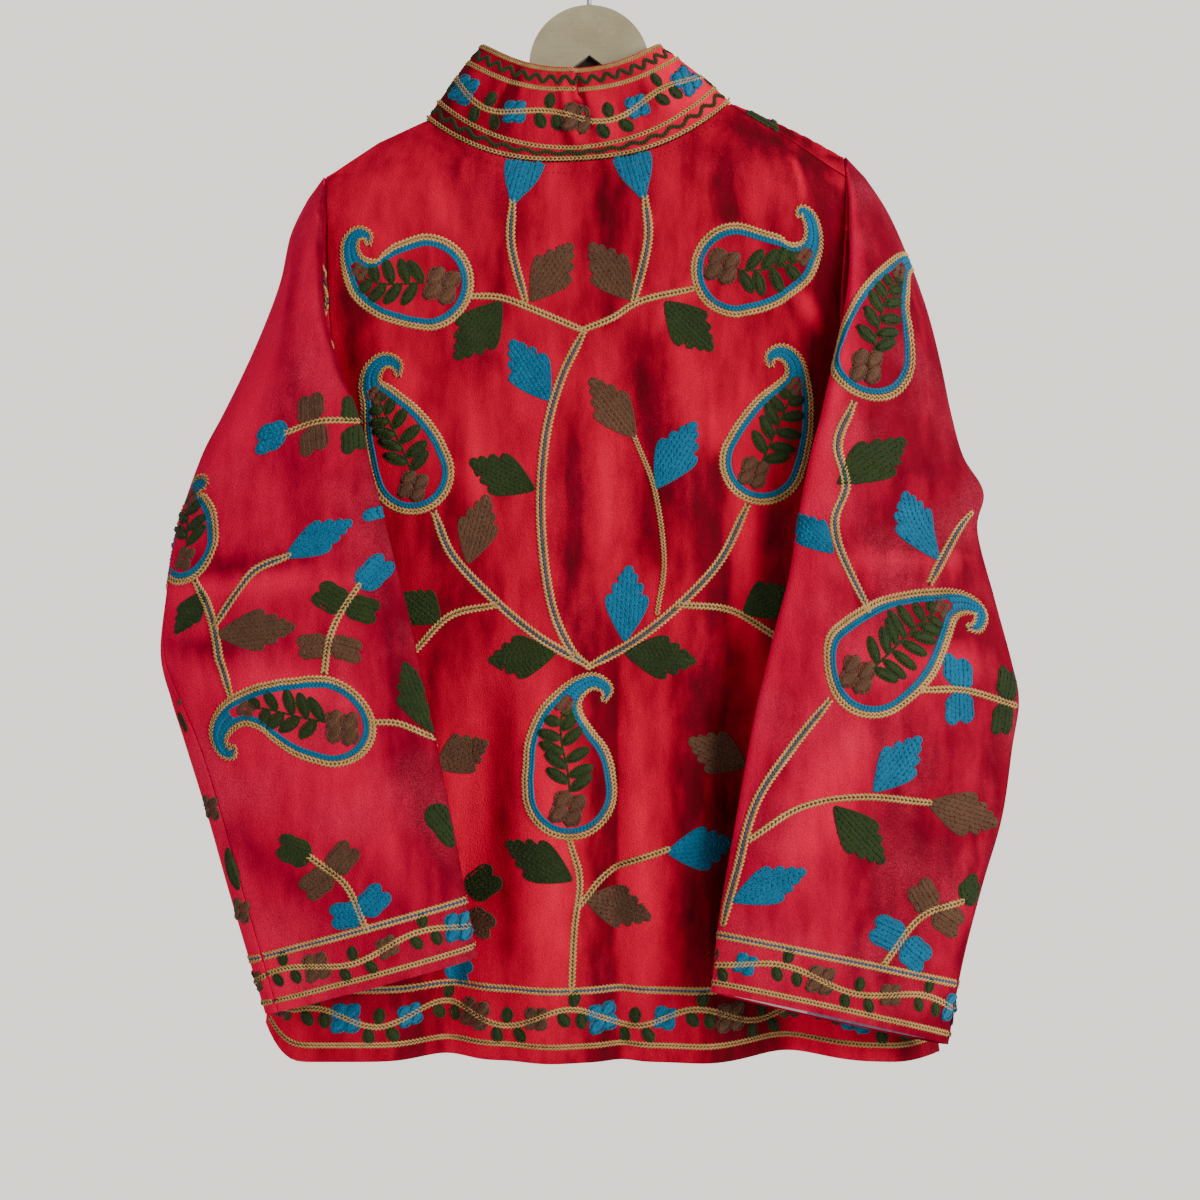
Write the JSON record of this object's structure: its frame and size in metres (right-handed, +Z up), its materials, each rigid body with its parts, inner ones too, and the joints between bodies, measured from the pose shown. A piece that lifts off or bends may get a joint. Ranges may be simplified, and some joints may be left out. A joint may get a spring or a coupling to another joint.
{
  "type": "embroidered velvet jacket on a hanger",
  "caption": "Hip-length red velvet jacket with a standing collar and chain-stitched paisleys, leaves and borders, hung back outwards on a flat hanger.",
  "frame": {"origin": "the highest point inside the hanger's hook, where a rail carries it", "axes": "+Z up, the jacket's back faces -Y and its fronts +Y, and the wearer's left is at -X"},
  "size_m": [0.6241, 0.1176, 0.8579],
  "materials": {
    "velvet": "cotton velvet, deep crimson with a soft sheen",
    "sleeve_velvet": "cotton velvet, worn a little paler and mottled",
    "lining": "shiny satin, grey violet with a white band at the cuff",
    "gold_thread": "chain stitch in old gold yarn",
    "blue_thread": "chain stitch in peacock blue yarn",
    "green_thread": "chain stitch in dark green yarn",
    "brown_thread": "chain stitch in brown yarn",
    "hanger": "flat olive drab sheet, matt",
    "hook": "drawn steel wire"
  },
  "bodies": {
    "root": {"back_panel": "velvet", "collar": "velvet", "front_panel_left": "velvet", "sleeve_left_back_piece": "sleeve_velvet", "sleeve_left_front_piece": "sleeve_velvet", "cuff_lining_left": "lining", "front_panel_right": "velvet", "sleeve_right_back_piece": "sleeve_velvet", "sleeve_right_front_piece": "sleeve_velvet", "cuff_lining_right": "lining", "hanger_plate": "hanger", "hanger_hook": "hook"}
  },
  "joints": []
}
